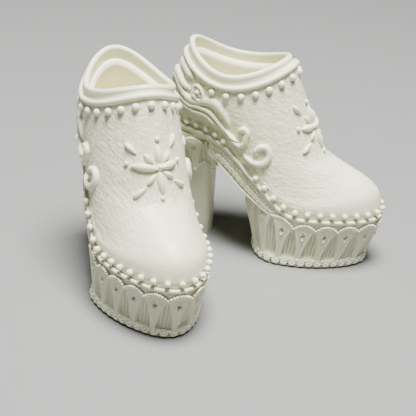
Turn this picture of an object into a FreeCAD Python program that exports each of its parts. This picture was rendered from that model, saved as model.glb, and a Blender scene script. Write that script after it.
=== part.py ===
"""A pair of doll-size platform ankle boots with a high block heel and cast lace trim.

Each boot is worked out in its own frame, in millimetres: x runs from the back of the
collar to the toe, y to the wearer's left and z up from the floor. The right boot is
built first, the left one is its mirror image, and both are then set down as a pair.
"""
import math
import os

import FreeCAD
import Part
from FreeCAD import Matrix, Placement, Rotation, Vector

# Overall sizes of one boot.
BOOT_LENGTH = 49.6          # back of the counter to the toe
BOOT_WIDTH = 21.8           # across the ball
PLATFORM_HEIGHT = 11.6      # floor to the foot bed under the ball
ARCH_RISE = 14.6            # how much higher the foot bed is at the heel
TOE_SWING = 0.2             # how far the toe leans to the inner side
TOE_POINT = 0.1             # share of its width that the toe loses towards its tip

# The outlines and stations below are drawn for a boot 49.6 long and 21.8 wide, and a boot
# of another length or width is stretched from them.
STRETCH = BOOT_LENGTH / 49.6
WIDEN = BOOT_WIDTH / 21.8
BALL_X = 30.0 * STRETCH     # where the foot bed starts to climb
SEAT_X = 5.0 * STRETCH      # where it levels out over the heel
BREAST_X = 7.5 * STRETCH    # where the bridge meets the heel

# Layers of the upper and the sole.
SHELL_WALL = 1.1
LINING_WALL = 0.6
LAYER_GAP = 0.12
WELT_THICK = 1.2
WELT_REACH = 0.9            # how far the welt stands out past the upper
BOARD_TOP = 0.65
SOCK_TOP = 1.2
SHANK_THICK = 3.2
OUTSOLE_THICK = 0.9
HEEL_LIFT_THICK = 0.9
ABOVE = 2 * (PLATFORM_HEIGHT + ARCH_RISE)   # clear of the whole sole, for cutting bodies

# Heights on the upper, as a fraction of the way from the welt to the rim.
LEVEL_STEP = 0.05
LINING_TOP = 0.85
ROLL_AT = 0.9
HUB_AT = 0.64
ROSETTE_T = 2.12
ROSETTE_AT = 0.77
HOOKS_FROM = 1.84           # the welt's pearls leave this stretch round from the toe bare
HOOKS_TO = 2.06

# Trim.
COLLAR_BEAD_R = 0.95
COLLAR_BEAD_PITCH = 2.9
COLLAR_BEAD_DROP = 2.3      # below the roll, along the upper
WELT_BEAD_R = 0.75
WELT_BEAD_PITCH = 2.6
WELT_BEAD_LIFT = 1.75       # above the welt, along the upper
PANEL_PITCH = 4.8
PANEL_THICK = 0.8
HEM_R = 0.62

# Closed outlines of the upper, welt to rim. Each gives the toe's x and its height over
# the foot bed, the middle's x, half-width and height, the back's x and height, and how
# far the outline has turned from following the foot bed to being an even saddle.
UPPER_OUTLINES = [
    (45.0, 0.0, 26.0, 10.5, 0.0, -2.6, 0.0, 0.0),
    (45.4, 2.0, 26.0, 10.9, 1.6, -3.0, 1.4, 0.0),
    (44.4, 5.3, 25.0, 10.9, 2.9, -3.5, 2.4, 0.1),
    (41.5, 7.7, 23.0, 10.6, 3.5, -3.9, 3.9, 0.3),
    (36.4, 9.8, 20.0, 10.3, 4.8, -4.2, 5.6, 0.6),
    (32.2, 11.8, 17.0, 10.1, 6.1, -4.2, 7.2, 0.85),
    (29.7, 16.0, 14.5, 10.0, 7.6, -3.8, 9.0, 1.0),
    (27.0, 21.1, 12.5, 9.9, 9.6, -2.8, 11.3, 1.0),
    (24.6, 25.6, 11.0, 9.6, 11.9, -1.4, 13.7, 1.0),
    (23.2, 27.9, 10.4, 9.35, 13.3, -0.7, 15.6, 1.0),
    (21.3, 28.9, 10.4, 9.2, 15.7, -0.2, 18.5, 1.0),
]

# The star on the vamp, right boot. Each long arm gives its heading from straight up, the
# reach of its petal's tip and that of its bead; each short one gives its middle, sideways
# towards the inner side and up, and its half-length.
HUB_R = 0.75
STAR_ARMS = [
    (0.0, 4.4, 5.5),
    (math.pi / 2, 4.2, 5.1),
    (math.pi, 5.2, 6.1),
    (-math.pi / 2, 5.6, 6.5),
]
STAR_DASHES = [
    (-2.0, 1.8, 1.2), (1.8, 1.8, 1.1), (-1.8, -2.3, 1.3), (1.9, -1.9, 1.2),
    (-5.3, 3.4, 1.3), (3.8, 4.5, 1.2), (-4.3, -5.3, 1.4), (4.8, -4.7, 1.4),
]

# The scrolls on each side, as places round from the toe and up the upper, and half-widths.
SCROLL_BANDS = [
    ([(3.02, 0.81), (2.80, 0.82), (2.63, 0.823), (2.47, 0.815), (2.36, 0.81)],
     [0.3, 0.5, 0.55, 0.5, 0.3]),
    ([(3.02, 0.725), (2.84, 0.725), (2.69, 0.725), (2.50, 0.71), (2.36, 0.705)],
     [0.3, 0.55, 0.55, 0.55, 0.3]),
    ([(3.05, 0.65), (2.64, 0.66), (2.46, 0.635), (2.28, 0.637), (2.10, 0.672), (1.95, 0.71), (1.83, 0.722),
      (1.74, 0.705), (1.70, 0.67), (1.69, 0.635)], [0.3, 0.5, 0.5, 0.5, 0.55, 0.7, 0.75, 0.7, 0.5, 0.25]),
    ([(2.44, 0.57), (2.30, 0.59), (2.13, 0.633), (1.97, 0.655), (1.88, 0.645), (1.82, 0.612), (1.78, 0.575),
      (1.75, 0.537), (1.71, 0.505), (1.63, 0.497), (1.54, 0.535), (1.48, 0.585), (1.51, 0.618)],
     [0.25, 0.35, 0.4, 0.4, 0.4, 0.4, 0.4, 0.45, 0.5, 0.55, 0.6, 0.55, 0.3]),
    ([(2.44, 0.49), (2.27, 0.545), (2.10, 0.597), (1.98, 0.61), (1.91, 0.59), (1.87, 0.555)],
     [0.2, 0.3, 0.33, 0.33, 0.3, 0.2]),
]
SCROLL_CURLS = [
    ([(1.70, 0.438), (1.60, 0.438), (1.49, 0.445), (1.36, 0.473), (1.28, 0.508), (1.33, 0.535),
      (1.41, 0.517)], [0.25, 0.5, 0.65, 0.7, 0.6, 0.5, 0.3]),
]

# The heel's cross-sections: share of its height, back x, front x, half-width.
HEEL_TOP = PLATFORM_HEIGHT + ARCH_RISE - WELT_THICK
HEEL_SECTIONS = [
    (0.0, 0.9, 7.8, 2.7),
    (0.32, 0.2, 7.6, 3.1),
    (0.64, -1.0, 7.4, 3.9),
    (0.84, -1.8, 7.2, 4.9),
    (1.06, -3.0, 7.1, 7.3),
]
APRON_DROP = 7.4            # from the heel's top to the middle of the skirt's hem
APRON_POINTS = 9


# ---------------------------------------------------------------- shape of the boot

def ease(f):
    """A smooth step from 0 to 1 as f goes from 0 to 1."""
    f = min(max(f, 0.0), 1.0)
    return f * f * (3 - 2 * f)


def bed_height(x):
    """Height of the foot bed above the floor at x."""
    return PLATFORM_HEIGHT + ARCH_RISE * ease((BALL_X - x) / (BALL_X - SEAT_X))


def shank_line(x):
    """Height of the bridge's underside at x; it thins to nothing at the ball."""
    return bed_height(x) - WELT_THICK - SHANK_THICK * min(1.0, max(0.0, (BALL_X - x) / (14.0 * STRETCH)))


def swing(x):
    """Sideways lean of the boot's centre line at x."""
    return TOE_SWING * max(0.0, (x / STRETCH - 15.0) / 30.0) ** 2


def outline_sizes(s):
    """The outline sizes at fraction s of the way up, smoothly between the listed ones."""
    place = min(max(s, 0.0), 1.0) * (len(UPPER_OUTLINES) - 1)
    first = min(int(place), len(UPPER_OUTLINES) - 2)
    f = place - first
    last = len(UPPER_OUTLINES) - 1
    a, b, c, d = (UPPER_OUTLINES[min(max(first + k, 0), last)] for k in (-1, 0, 1, 2))
    sizes = []
    for p, q, r, w in zip(a, b, c, d):
        curve = 2 * q + (r - p) * f + (2 * p - 5 * q + 4 * r - w) * f ** 2 + (3 * q - p - 3 * r + w) * f ** 3
        sizes.append(curve / 2)
    return sizes


def upper_point(t, s):
    """A point of the upper's outer face: t is the angle round from the toe, s the way up."""
    toe_x, toe_up, mid_x, half_width, mid_up, back_x, back_up, level = outline_sizes(s)
    toe_x, mid_x, back_x = toe_x * STRETCH, mid_x * STRETCH, back_x * STRETCH
    c = math.cos(t)
    forward = c > 0
    end_x, end_up = (toe_x, toe_up) if forward else (back_x, back_up)
    x = mid_x + (end_x - mid_x) * abs(c)
    y = half_width * WIDEN * math.sin(t) * (1 - TOE_POINT * c * c if forward else 1 + 0.12 * c)
    rear = ease(-2.5 * c)
    level = min(max(level, 0.0), 1.0) ** (1 + rear)
    flatness = 2 - rear * (1 - min(max((s - 0.4) / 0.4, 0.0), 1.0))
    draped = bed_height(x) + mid_up + (end_up - mid_up) * c * c
    mid_z = bed_height(mid_x) + mid_up
    end_z = bed_height(end_x) + end_up
    saddle = mid_z + (end_z - mid_z) * abs(c) ** flatness
    return Vector(x, y + swing(x), (1 - level) * draped + level * saddle)


def block_point(t, h):
    """A point of the platform's side wall: h is 0 on the outsole and 1 under the toe's welt."""
    front = 17.5 + 2.1 * h
    back = 6.6 + 3.6 * h
    half_width = (10.2 + 0.9 * h) * WIDEN
    c = math.cos(t)
    pointed = TOE_POINT * (2 - h) * c * c if c > 0 else 0.0
    x = STRETCH * (25.3 + 0.7 * h + (front if c > 0 else back) * c)
    y = half_width * math.sin(t) * (1 - pointed)
    z = OUTSOLE_THICK + (PLATFORM_HEIGHT - WELT_THICK - OUTSOLE_THICK) * h
    return Vector(x, y + swing(x), z)


def frame_at(skin, t, s):
    """Point, outward normal, sideways and upward directions of a skin at (t, s)."""
    step = 1e-3
    low, high = max(s - step, 0.0), min(s + step, 1.0)
    across = skin(t + step, s) - skin(t - step, s)
    rise = skin(t, high) - skin(t, low)
    across.normalize()
    normal = across.cross(rise)
    normal.normalize()
    upward = normal.cross(across)
    return skin(t, s), normal, across, upward


def off_skin(skin, t, s, out, up=0.0):
    """A point a little off a skin, in millimetres outward and up along it."""
    point, normal, _, upward = frame_at(skin, t, s)
    return point + normal * out + upward * up


def walk(skin, t, s, sideways, up, steps=8):
    """The (t, s) reached from a place on a skin by going so many millimetres along it."""
    d = 1e-3
    for _ in range(steps):
        wide = (skin(t + d, s) - skin(t - d, s)).Length / (2 * d)
        tall = (skin(t, s + d) - skin(t, s)).Length / d
        t += sideways / steps / wide
        s += up / steps / tall
    return t, s


def spread(skin, s, pitch, start=0.0, end=2 * math.pi, closed=True):
    """Angles that step evenly along a skin at height s, about one pitch apart."""
    fine = 720
    angles = [start + (end - start) * k / fine for k in range(fine + 1)]
    lengths = [0.0]
    for a, b in zip(angles, angles[1:]):
        lengths.append(lengths[-1] + (skin(b, s) - skin(a, s)).Length)
    count = max(1, round(lengths[-1] / pitch))
    total = count if closed else count + 1
    places = []
    k = 0
    for i in range(total):
        goal = lengths[-1] * i / count
        while k < fine and lengths[k + 1] < goal:
            k += 1
        places.append(angles[min(k, fine)])
    return places


# ---------------------------------------------------------------- solids

def turn(count):
    """Angles of a full turn, starting at the back."""
    return [math.pi + 2 * math.pi * i / count for i in range(count)]


def smooth_skin(rows, closed_up=False):
    """A spline face through closed rows of poles."""
    around, up = len(rows[0]), len(rows)
    degree = min(3, up - 1)
    poles = [[rows[j][i] for j in range(up)] for i in range(around)]
    surface = Part.BSplineSurface()
    if closed_up:
        up_knots, up_mults = list(range(up + 1)), [1] * (up + 1)
    else:
        spans = up - degree
        up_knots = list(range(spans + 1))
        up_mults = [degree + 1] + [1] * (spans - 1) + [degree + 1]
    surface.buildFromPolesMultsKnots(poles, [1] * (around + 1), up_mults, list(range(around + 1)),
                                     up_knots, True, closed_up, 3, degree)
    return surface.toShape()


def sewn(faces):
    """One solid from faces that meet edge to edge."""
    shell = Part.makeShell(faces)
    shell.sewShape()
    solid = Part.Solid(shell)
    if solid.Volume < 0:
        solid.reverse()
    return solid


def tube(outer, inner):
    """A closed wall between an outer and an inner skin, given as rows of poles."""
    faces = [smooth_skin(outer), smooth_skin(inner)]
    faces.append(smooth_skin([outer[0], inner[0]]))
    faces.append(smooth_skin([outer[-1], inner[-1]]))
    return sewn(faces)


def column(rows):
    """A solid through flat closed rows of poles, with a flat cap at each end."""
    side = smooth_skin(rows)
    caps = [Part.Face(Part.Wire(edge)) for edge in side.Edges if edge.isClosed()]
    return sewn([side] + caps)


def ring(rows):
    """A ring-shaped solid: every row runs round the ring and the rows close on themselves."""
    solid = Part.Solid(Part.makeShell([smooth_skin(rows, closed_up=True)]))
    if solid.Volume < 0:
        solid.reverse()
    return solid


def wall(skin, low, high, out, inside, around=32):
    """A wall that follows a skin between two heights and two distances from it."""
    levels = round((high - low) / LEVEL_STEP)
    heights = [low + LEVEL_STEP * k for k in range(levels + 1)]
    outer = [[off_skin(skin, t, s, out) for t in turn(around)] for s in heights]
    inner = [[off_skin(skin, t, s, inside) for t in turn(around)] for s in heights]
    return tube(outer, inner)


def loop(skin, section, s, around=32):
    """A ring along a skin at height s, with a cross-section given as (out, up) poles."""
    return ring([[off_skin(skin, t, s, out, up) for t in turn(around)] for out, up in section])


def round_section(radius, out, up=0.0, sides=8):
    """Poles of a round cross-section."""
    reach = radius * 3 / (2 + math.cos(2 * math.pi / sides))
    angles = [2 * math.pi * k / sides for k in range(sides)]
    return [(out + reach * math.cos(a), up + reach * math.sin(a)) for a in angles]


def ribbon(skin, places, widths, height, out=0.0):
    """A rounded ribbon laid on a skin along (t, s) places, its half-width given at each."""
    fine = 4 * (len(places) - 1)
    rows = []
    for k in range(fine + 1):
        t, s = along(places, k / fine)
        ahead = skin(*along(places, min(1.0, k / fine + 0.02)))
        behind = skin(*along(places, max(0.0, k / fine - 0.02)))
        point, normal, _, _ = frame_at(skin, t, s)
        run = (ahead - behind).normalize()
        side = normal.cross(run).normalize()
        rise = run.cross(side)
        half = along([(w, 0.0) for w in widths], k / fine)[0]
        tall = height * min(1.0, half / max(widths) + 0.35)
        rows.append([point + rise * (out + tall * b) + side * (half * a) for a, b in round_section(1.0, 0.0)])
    return column(rows)


def along(places, f):
    """A place on a smooth curve through a list of pairs, f from 0 to 1."""
    p = f * (len(places) - 1)
    first = min(int(p), len(places) - 2)
    g = p - first
    last = len(places) - 1
    a, b, c, d = (places[min(max(first + k, 0), last)] for k in (-1, 0, 1, 2))
    pair = []
    for e, q, r, w in zip(a, b, c, d):
        pair.append((2 * q + (r - e) * g + (2 * e - 5 * q + 4 * r - w) * g ** 2
                     + (3 * q - e - 3 * r + w) * g ** 3) / 2)
    return tuple(pair)


def dome(skin, t, s, long, wide, tall, heading=0.0, out=0.0):
    """An oval bead seated on a skin; heading turns its long axis away from straight up."""
    point, normal, across, upward = frame_at(skin, t, s)
    lengthways = upward * math.cos(heading) + across * math.sin(heading)
    sideways = lengthways.cross(normal)
    seat = point + normal * out
    ball = Part.makeSphere(1.0)
    m = Matrix(lengthways.x * long, sideways.x * wide, normal.x * tall, seat.x,
               lengthways.y * long, sideways.y * wide, normal.y * tall, seat.y,
               lengthways.z * long, sideways.z * wide, normal.z * tall, seat.z,
               0, 0, 0, 1)
    return ball.transformGeometry(m)


def ball(centre, radius):
    """A round bead."""
    return Part.makeSphere(radius, centre)


def plan_prism(outline, low, high):
    """A vertical prism over a closed outline given as a list of points."""
    curve = Part.BSplineCurve()
    curve.interpolate(Points=[Vector(p.x, p.y, low) for p in outline], PeriodicFlag=True)
    return Part.Face(Part.Wire(curve.toShape())).extrude(Vector(0, 0, high - low))


def grown_outline(s, grow, count=36):
    """The upper's outline in plan at height s, moved outward by grow."""
    points = []
    for t in turn(count):
        step = upper_point(t + 1e-3, s) - upper_point(t - 1e-3, s)
        outward = Vector(step.y, -step.x, 0).normalize()
        points.append(upper_point(t, s) + outward * grow)
    return points


def sheet(top, bottom, from_x=-8.0 * STRETCH, to_x=52.0 * STRETCH):
    """A body across the boot between two lines that give a height at each x."""
    edges = []
    reach = BOOT_WIDTH * 0.75
    for line in (top, bottom):
        xs = [from_x + (to_x - from_x) * k / 30 for k in range(31)]
        curve = Part.BSplineCurve()
        curve.interpolate([Vector(x, -reach, line(x)) for x in xs])
        edges.append(curve.toShape())
    for x in (from_x, to_x):
        edges.append(Part.makeLine(Vector(x, -reach, top(x)), Vector(x, -reach, bottom(x))))
    face = Part.Face(Part.Wire(Part.__sortEdges__(edges)))
    return face.extrude(Vector(0, 2 * reach, 0))


def bed_layer(top, bottom):
    """A sheet that follows the foot bed between two offsets from it."""
    return sheet(lambda x: bed_height(x) + top, lambda x: bed_height(x) + bottom)


def heel_row(z, grow=0.0, count=36):
    """Poles of the heel's rounded-square cross-section at height z."""
    share = z / HEEL_TOP
    for low, high in zip(HEEL_SECTIONS, HEEL_SECTIONS[1:]):
        if share <= high[0] or high is HEEL_SECTIONS[-1]:
            break
    f = (share - low[0]) / (high[0] - low[0])
    back, front, half = (low[k] + (high[k] - low[k]) * f for k in (1, 2, 3))
    back, front, half = back * STRETCH, front * STRETCH, half * WIDEN
    points = []
    for k in range(count):
        a = 2 * math.pi * k / count
        c, d = math.cos(a), math.sin(a)
        square = (abs(c) ** 4 + abs(d) ** 4) ** -0.25
        x = (back + front) / 2 + ((front - back) / 2 + grow) * c * square
        points.append(Vector(x, (half + grow) * d * square, z))
    return points


# ---------------------------------------------------------------- upper and collar

def upper_shell():
    """The moulded outer of the boot, from the welt to under the collar lip."""
    return wall(upper_point, 0.0, ROLL_AT, 0.0, -SHELL_WALL)


def lining():
    """The thin inner layer, which stops short of the rim and leaves a ledge."""
    inner = -SHELL_WALL - LAYER_GAP
    return wall(upper_point, LEVEL_STEP, LINING_TOP, inner, inner - LINING_WALL)


def collar_lip():
    """The plain lip that rises above the roll, with a rounded rim."""
    heights = [ROLL_AT + 0.004 + (1 - ROLL_AT - 0.004) * k / 4 for k in range(5)]
    outer = [(0.0, s, 0.0) for s in heights]
    top = [(-0.1, 1.0, 0.45), (-0.55, 1.0, 0.7), (-1.0, 1.0, 0.45)]
    inner = [(-SHELL_WALL, s, 0.0) for s in reversed(heights)]
    rows = [[off_skin(upper_point, t, s, out, up) for t in turn(32)] for out, s, up in outer + top + inner]
    return tube_from_profile(rows)


def tube_from_profile(rows):
    """A ring whose profile runs up the outside, over the top and down the inside."""
    return sewn([smooth_skin(rows), smooth_skin([rows[0], rows[-1]])])


def collar_roll():
    """The rolled piping below the lip."""
    return loop(upper_point, round_section(0.82, 0.55), ROLL_AT - 0.004)


def from_toe(t):
    """How far round from the toe an angle is, on either side."""
    return abs((t + math.pi) % (2 * math.pi) - math.pi)


def collar_beads():
    """The pearl row under the roll, from rosette to rosette round the front."""
    beads = []
    for t in spread(upper_point, ROLL_AT, COLLAR_BEAD_PITCH):
        if from_toe(t) < ROSETTE_T - 0.28:
            place = walk(upper_point, t, ROLL_AT, 0.0, -COLLAR_BEAD_DROP)
            beads.append(ball(off_skin(upper_point, *place, 0.3), COLLAR_BEAD_R))
    return beads


# ---------------------------------------------------------------- sole

def welt_plate():
    """The plate between the upper and the sole, which shows as a ledge all round."""
    return plan_prism(grown_outline(0.0, WELT_REACH), 0.0, ABOVE).common(bed_layer(-0.16, -WELT_THICK))


def welt_cord():
    """The cord that lies on the ledge of the welt."""
    return loop(upper_point, round_section(0.5, 0.45, 0.5), 0.0, around=40)


def welt_beads():
    """The pearl row just above the welt cord, broken below the scrolls."""
    beads = []
    for t in spread(upper_point, 0.0, WELT_BEAD_PITCH):
        if not HOOKS_FROM < from_toe(t) < HOOKS_TO:
            place = walk(upper_point, t, 0.0, 0.0, WELT_BEAD_LIFT)
            beads.append(ball(off_skin(upper_point, *place, 0.5), WELT_BEAD_R))
    return beads


def insole_board():
    """The stiff board that closes the upper underneath."""
    outline = grown_outline(0.0, -SHELL_WALL - 0.15)
    return plan_prism(outline, 0.0, ABOVE).common(bed_layer(BOARD_TOP, 0.02))


def sock_lining():
    """The soft layer the foot stands on."""
    outline = grown_outline(0.0, -SHELL_WALL - LINING_WALL - 0.35)
    return plan_prism(outline, 0.0, ABOVE).common(bed_layer(SOCK_TOP, BOARD_TOP + 0.03))


def platform_block():
    """The thick block under the ball and toes, its top shaped to the bridge and welt."""
    rows = [[block_point(t, h) for t in turn(32)] for h in (0.0, 1.0, 1.9)]
    return column(rows).common(sheet(lambda x: shank_line(x) - 0.09, lambda x: 0.0))


def outsole():
    """The tread pad under the platform."""
    outline = []
    for t in turn(32):
        point, normal, _, _ = frame_at(block_point, t, 0.0)
        outline.append(point - Vector(normal.x, normal.y, 0) * 0.3)
    return plan_prism(outline, 0.0, OUTSOLE_THICK - 0.02)


def hem_lace():
    """The ruffled cord along the platform's bottom edge."""
    waves = 3 * len(panel_angles())
    count = 4 * waves
    rows = []
    for out, up in round_section(HEM_R, 0.4, sides=6):
        row = []
        for k, t in enumerate(turn(count)):
            ruffle = 0.14 * math.cos(2 * math.pi * k * waves / count)
            point, normal, _, _ = frame_at(block_point, t, 0.0)
            level = Vector(normal.x, normal.y, 0).normalize()
            row.append(Vector(point.x, point.y, HEM_R + 0.12 + up) + level * (out + ruffle))
        rows.append(row)
    return ring(rows)


def panel_angles():
    """Where the arcade panels stand round the platform, one pitch apart."""
    return spread(block_point, 0.8, PANEL_PITCH)


def wall_height(t):
    """How tall the platform's wall is at angle t, up to the bridge or welt."""
    foot = block_point(t, 0.0)
    return min(shank_line(block_point(t, 1.0).x) - foot.z, 10.6)


def on_wall(t, sideways, up):
    """The (t, h) on the platform's wall a distance sideways and up from its foot at t."""
    span = PLATFORM_HEIGHT - WELT_THICK - OUTSOLE_THICK
    return walk(block_point, t, up / span, sideways, 0.0, steps=3)


def panel_outline(tall):
    """Half the width of a panel at even steps up it, narrow at the foot, then its round top."""
    low_half, top_half, cap = 0.7, PANEL_PITCH / 2 - 0.12, 1.7
    side = [(low_half + (top_half - low_half) * k / 5, 0.5 + (tall - cap - 0.5) * k / 5) for k in range(6)]
    angles = [math.pi * k / 8 for k in range(1, 8)]
    top = [(top_half * math.cos(a), tall - cap + cap * math.sin(a)) for a in angles]
    return side + top + [(-half, up) for half, up in reversed(side)]


def arcade_panels():
    """The row of V-shaped lace panels round the platform, each with a drop-shaped hole."""
    panels = []
    for t in panel_angles():
        tall = wall_height(t) - 0.3
        outer = panel_outline(tall)
        count = len(outer)
        turns = [-math.pi / 2 + 2 * math.pi * (k + 0.5) / count for k in range(count)]
        hole = [(0.8 * math.cos(a) * (1 + 0.4 * math.sin(a)), tall - 3.4 + 1.2 * math.sin(a)) for a in turns]
        middle = [((a + c) / 2, (b + d) / 2) for (a, b), (c, d) in zip(outer, hole)]
        profile = [(outer, 0.05), (outer, 0.45), (outer, 0.85), (middle, 1.0), (hole, 0.85), (hole, 0.45),
                   (hole, 0.05), (middle, 0.05)]
        rows = []
        for places, out in profile:
            rows.append([off_skin(block_point, *on_wall(t, a, b), out * PANEL_THICK) for a, b in places])
        panels.append(ring(rows))
    return panels


def arcade_ribs():
    """Upright ribs in the pointed recesses between the panels."""
    ribs = []
    angles = panel_angles()
    for a, b in zip(angles, angles[1:] + [angles[0] + 2 * math.pi]):
        middle = (a + b) / 2
        for side, tall in ((-0.72, 0.34), (0.0, 0.6), (0.72, 0.34)):
            foot = off_skin(block_point, *on_wall(middle, side, 1.0), 0.08)
            head = off_skin(block_point, *on_wall(middle, side, tall * wall_height(middle)), 0.08)
            ribs.append(Part.makeCylinder(0.28, (head - foot).Length, foot, head - foot))
    return ribs


def panel_beads():
    """The small bead under each panel's hole."""
    beads = []
    for t in panel_angles():
        place = on_wall(t, 0.0, wall_height(t) - 5.6)
        beads.append(ball(off_skin(block_point, *place, PANEL_THICK), 0.36))
    return beads


def shank():
    """The arched bridge under the waist, from the heel breast to the ball."""
    body = sheet(lambda x: bed_height(x) - WELT_THICK - 0.1, shank_line, BREAST_X, BALL_X - 1.5)
    return body.common(plan_prism(grown_outline(0.0, 0.0), 0.0, ABOVE))


def shank_half_width(x):
    """Half-width of the bridge's side at x."""
    outline = [p for p in grown_outline(0.0, 0.0, count=144) if p.y > 0]
    return min(outline, key=lambda p: abs(p.x - x)).y


def shank_lace():
    """The row of oval scallops along the lower edge of both sides of the bridge."""
    lace = []
    for k in range(7):
        x = BREAST_X + (1.7 + 1.35 * k) * STRETCH
        for side in (-1, 1):
            place = Vector(x, side * shank_half_width(x), shank_line(x) + 0.85)
            lace.append(ball(place, 0.72))
    return lace


# ---------------------------------------------------------------- heel

def heel_block():
    """The tall block heel, shaped to the underside of the foot bed."""
    heights = [HEEL_LIFT_THICK + (1.25 * HEEL_TOP - HEEL_LIFT_THICK) * k / 6 for k in range(7)]
    block = column([heel_row(z) for z in heights]).common(bed_layer(-WELT_THICK - 0.05, -ABOVE))
    return block.common(plan_prism(grown_outline(0.0, WELT_REACH - 0.5), 0.0, ABOVE))


def heel_lift():
    """The wearing piece under the heel."""
    return column([heel_row(0.0), heel_row(HEEL_LIFT_THICK - 0.02)])


def heel_apron():
    """The pleated skirt round the top of the heel, with a pointed hem."""
    count = 4 * APRON_POINTS
    outer, inner = [], []
    for k in range(6):
        f = k / 5
        outer_row, inner_row = [], []
        for i in range(count):
            a = 2 * math.pi * i / count
            hem = HEEL_TOP - APRON_DROP + 1.0 * math.cos(APRON_POINTS * a)
            z = hem + (HEEL_TOP + 1.0 - hem) * f
            flare = 0.85 + 0.25 * (1 - f)
            fold = 0.28 * math.cos(2 * APRON_POINTS * a)
            outer_row.append(heel_row(z, flare + fold, count=count)[i])
            inner_row.append(heel_row(z, 0.25, count=count)[i])
        outer.append(outer_row)
        inner.append(inner_row)
    skirt = tube(outer, inner)
    skirt = skirt.common(bed_layer(-WELT_THICK - 0.05, -ABOVE))
    skirt = skirt.common(plan_prism(grown_outline(0.0, WELT_REACH), 0.0, ABOVE))
    return skirt.cut(sheet(lambda x: ABOVE, lambda x: shank_line(x) - 0.06, BREAST_X - 0.06, BALL_X))


def apron_beads():
    """A small bead at each point of the skirt's hem."""
    row = heel_row(HEEL_TOP - APRON_DROP - 0.6, 0.75, count=2 * APRON_POINTS)
    return [ball(place, 0.5) for place in row[1::2]]


# ---------------------------------------------------------------- applied ornament

def star_place(heading, reach):
    """Where the star's arm is, at a heading from straight up and a reach from the hub."""
    return walk(upper_point, 0.0, HUB_AT, reach * math.sin(heading), reach * math.cos(heading))


def star_hub():
    """The domed centre of the star."""
    return dome(upper_point, 0.0, HUB_AT, HUB_R, HUB_R, 0.8, out=0.1)


def star_petals():
    """Four long pointed petals, up, down and to each side, longest on the outer side."""
    petals = []
    for heading, tip, _ in STAR_ARMS:
        middle = (HUB_R + 0.1 + tip) / 2
        t, s = star_place(heading, middle)
        petals.append(dome(upper_point, t, s, tip - middle, 0.62, 0.62, heading, out=0.1))
    return petals


def star_dashes():
    """A short petal and an outer drop on each diagonal, given as sideways, up and half-length."""
    dashes = []
    for sideways, up, long in STAR_DASHES:
        t, s = walk(upper_point, 0.0, HUB_AT, sideways, up)
        dashes.append(dome(upper_point, t, s, long, 0.45, 0.5, math.atan2(sideways, up), out=0.08))
    return dashes


def star_beads():
    """A bead beyond the tip of each long petal."""
    beads = []
    for heading, _, reach in STAR_ARMS:
        t, s = star_place(heading, reach)
        beads.append(ball(off_skin(upper_point, t, s, 0.15), 0.5))
    return beads


def both_sides(make):
    """Pieces made by a function for the outer side and again for the inner side."""
    return make(-1) + make(1)


def ribbons(paths, side):
    """Ribbons along paths given for one side of the boot."""
    return [ribbon(upper_point, [(side * t, s) for t, s in path], widths, 0.7, 0.1) for path, widths in paths]


def scroll_bands():
    """Ribbons that sweep from the back of the collar down and forward, one into a hook."""
    return both_sides(lambda side: ribbons(SCROLL_BANDS, side))


def scroll_curls():
    """The hooked curl below the ribbons, near the welt."""
    return both_sides(lambda side: ribbons(SCROLL_CURLS, side))


def rosette():
    """The knot of beads under the collar at each back quarter."""
    def knot(side):
        t, s = side * ROSETTE_T, ROSETTE_AT
        beads = [dome(upper_point, t, s, 0.85, 0.85, 0.95, out=0.2)]
        for k in range(6):
            around = 2 * math.pi * k / 6
            bt, bs = walk(upper_point, t, s, 1.38 * math.sin(around), 1.38 * math.cos(around))
            beads.append(ball(off_skin(upper_point, bt, bs, 0.2), 0.42))
        return beads
    return both_sides(knot)


# ---------------------------------------------------------------- assembly

PIECES = {
    "upper_shell": upper_shell,
    "lining": lining,
    "collar_lip": collar_lip,
    "collar_roll": collar_roll,
    "collar_beads": collar_beads,
    "welt_plate": welt_plate,
    "welt_cord": welt_cord,
    "welt_beads": welt_beads,
    "insole_board": insole_board,
    "sock_lining": sock_lining,
    "platform_block": platform_block,
    "outsole": outsole,
    "hem_lace": hem_lace,
    "arcade_panels": arcade_panels,
    "arcade_ribs": arcade_ribs,
    "panel_beads": panel_beads,
    "shank": shank,
    "shank_lace": shank_lace,
    "heel_block": heel_block,
    "heel_lift": heel_lift,
    "heel_apron": heel_apron,
    "apron_beads": apron_beads,
    "star_hub": star_hub,
    "star_petals": star_petals,
    "star_dashes": star_dashes,
    "star_beads": star_beads,
    "scroll_bands": scroll_bands,
    "scroll_curls": scroll_curls,
    "rosette": rosette,
}

# How each boot stands: heading of its x axis in degrees, and the place of its origin.
STANCES = {
    "right": (-66.0, Vector(-22.3, -20.4, 0.0)),
    "left": (-13.7, Vector(-6.5, -9.3, 0.0)),
}


def as_shape(made):
    """One shape from what a piece's function gives back."""
    solids = made if isinstance(made, list) else made.Solids
    return solids[0] if len(solids) == 1 else Part.makeCompound(solids)


def stand(shape, side):
    """Mirror a piece if it belongs to the left boot, and put it in its place in the pair."""
    heading, place = STANCES[side]
    if side == "left":
        shape = shape.mirror(Vector(0, 0, 0), Vector(0, 1, 0))
    moved = shape.copy()
    moved.Placement = Placement(place, Rotation(Vector(0, 0, 1), heading)).multiply(moved.Placement)
    return moved


def build():
    """Make every piece, centre the pair over the origin and write one file for each."""
    made = {name: as_shape(make()) for name, make in PIECES.items()}
    pair = {}
    for side in STANCES:
        for name, shape in made.items():
            pair[side + "_" + name] = stand(shape, side)
    box = Part.makeCompound(list(pair.values())).optimalBoundingBox(True, False)
    shift = Vector(-box.Center.x, -box.Center.y, -box.ZMin)
    os.makedirs("parts", exist_ok=True)
    for node, shape in pair.items():
        shape.translate(shift)
        shape.exportStep("parts/" + node + ".step")


build()
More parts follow.
